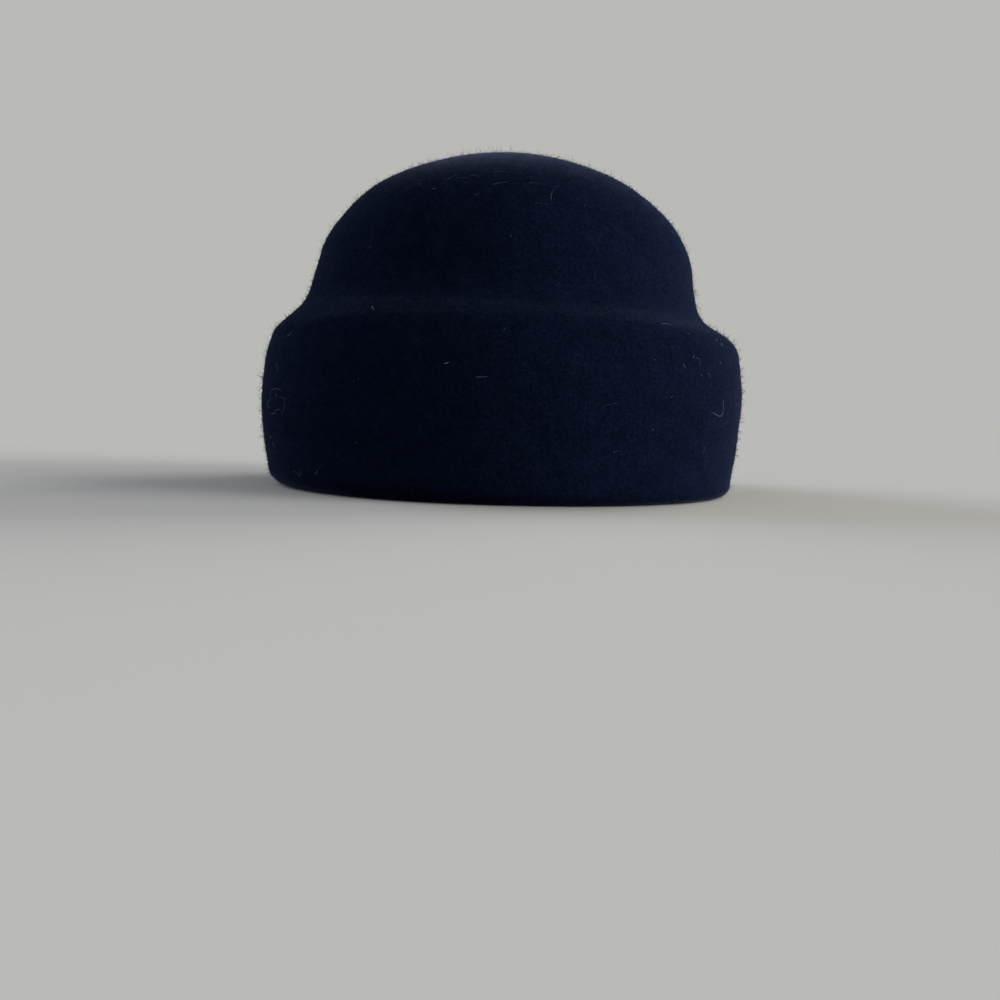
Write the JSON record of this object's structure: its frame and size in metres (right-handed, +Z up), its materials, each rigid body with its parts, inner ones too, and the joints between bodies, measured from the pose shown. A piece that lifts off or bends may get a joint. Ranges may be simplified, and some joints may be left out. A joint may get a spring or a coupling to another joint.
{
  "type": "sailor hat",
  "caption": "Wool felt sailor hat in one piece, with a domed crown, a waist, a sloping shoulder and a wide cuff whose edge is rolled under.",
  "frame": {"origin": "middle of the plane that the rolled edge rests on, under the middle of the crown", "axes": "+Z up through the crown, -Y towards the front, +X to the right of someone who faces the front"},
  "size_m": [0.2092, 0.2452, 0.1422],
  "materials": {
    "navy_felt": "fuzzy wool felt"
  },
  "bodies": {
    "root": {"felt_body": "navy_felt"}
  },
  "joints": []
}
